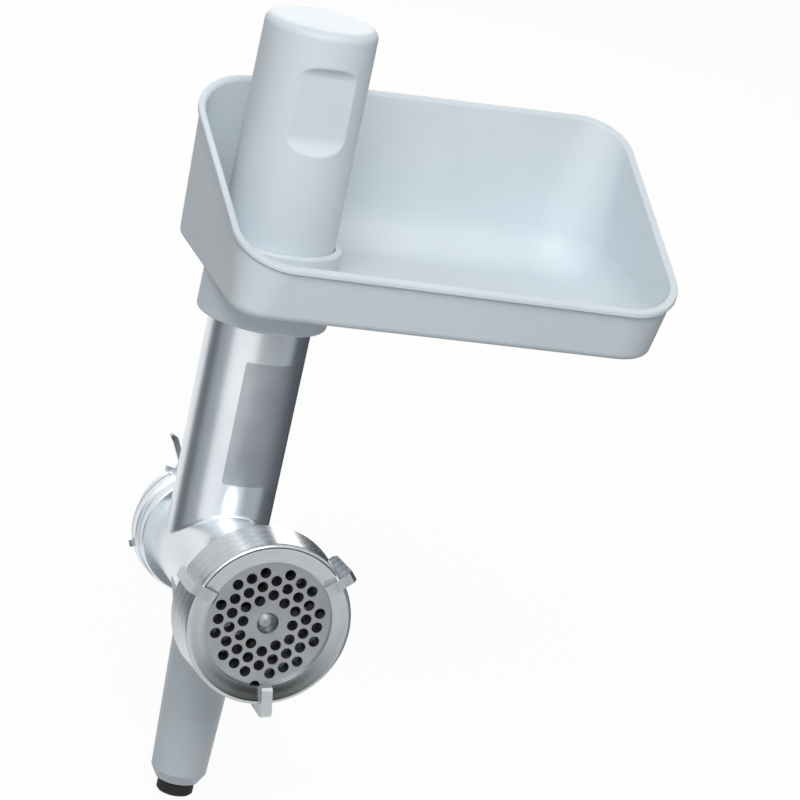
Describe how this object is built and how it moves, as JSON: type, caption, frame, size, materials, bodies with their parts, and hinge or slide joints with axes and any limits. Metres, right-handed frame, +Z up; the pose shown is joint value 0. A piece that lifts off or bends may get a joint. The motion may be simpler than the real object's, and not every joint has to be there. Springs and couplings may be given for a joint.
{
  "type": "meat grinder attachment",
  "caption": "Meat grinder head driven from behind: cast housing with feed tube, tray, pusher, worm, knife, perforated disc, ring nut, bayonet flange and footed leg.",
  "frame": {"origin": "on the barrel axis, in the plane where the rear flange meets the driving machine's hub", "axes": "+Y along the barrel axis towards the driving machine, +Z up along the feed tube, +X to the tray's long side"},
  "size_m": [0.1855, 0.1349, 0.3065],
  "materials": {
    "cast_aluminium": "polished die casting",
    "polished_aluminium": "turned and polished",
    "sheet_steel": "stamped sheet",
    "turned_steel": "turned",
    "ground_steel": "ground",
    "grey_plastic": "moulded, fine grain",
    "pale_plastic": "moulded, satin",
    "bearing_plastic": "machined",
    "coupling_plastic": "moulded",
    "black_rubber": "moulded"
  },
  "bodies": {
    "housing": {"grinder_housing": "cast_aluminium", "bayonet_plate": "sheet_steel", "bayonet_screws": "turned_steel", "rear_bush": "bearing_plastic", "shaft_seal": "black_rubber", "disc_key_pin": "turned_steel", "support_post": "grey_plastic", "post_screw": "turned_steel", "post_foot": "black_rubber"},
    "tray": {"feed_tray": "pale_plastic"},
    "pusher": {"pusher_shell": "pale_plastic", "pusher_end_plate": "pale_plastic"},
    "rotor": {"worm": "cast_aluminium", "worm_stud": "turned_steel", "knife": "ground_steel", "thrust_washer": "bearing_plastic", "drive_coupling": "coupling_plastic", "coupling_screw": "turned_steel"},
    "disc": {"perforated_disc": "ground_steel"},
    "ring": {"ring_nut": "polished_aluminium"}
  },
  "joints": [
    {"name": "worm_spin", "type": "hinge", "parent": "housing", "child": "rotor", "pos_m": [0, 0, 0], "axis": [0, -1, 0], "continuous": true},
    {"name": "tray_lift", "type": "slide", "parent": "housing", "child": "tray", "axis": [0, 0, 1], "range_m": [0, 0.04]},
    {"name": "pusher_slide", "type": "slide", "parent": "tray", "child": "pusher", "axis": [0, 0, 1], "range_m": [0, 0.11]},
    {"name": "disc_slide", "type": "slide", "parent": "housing", "child": "disc", "axis": [0, -1, 0], "range_m": [0, 0.0091]},
    {"name": "ring_turn", "type": "hinge", "parent": "disc", "child": "ring", "pos_m": [0, 0, 0], "axis": [0, -1, 0], "range_deg": [0, 1080]}
  ],
  "couplings": [
    {"joint": "disc_slide", "follows": "ring_turn", "m_per_rad": 0.00047746}
  ]
}
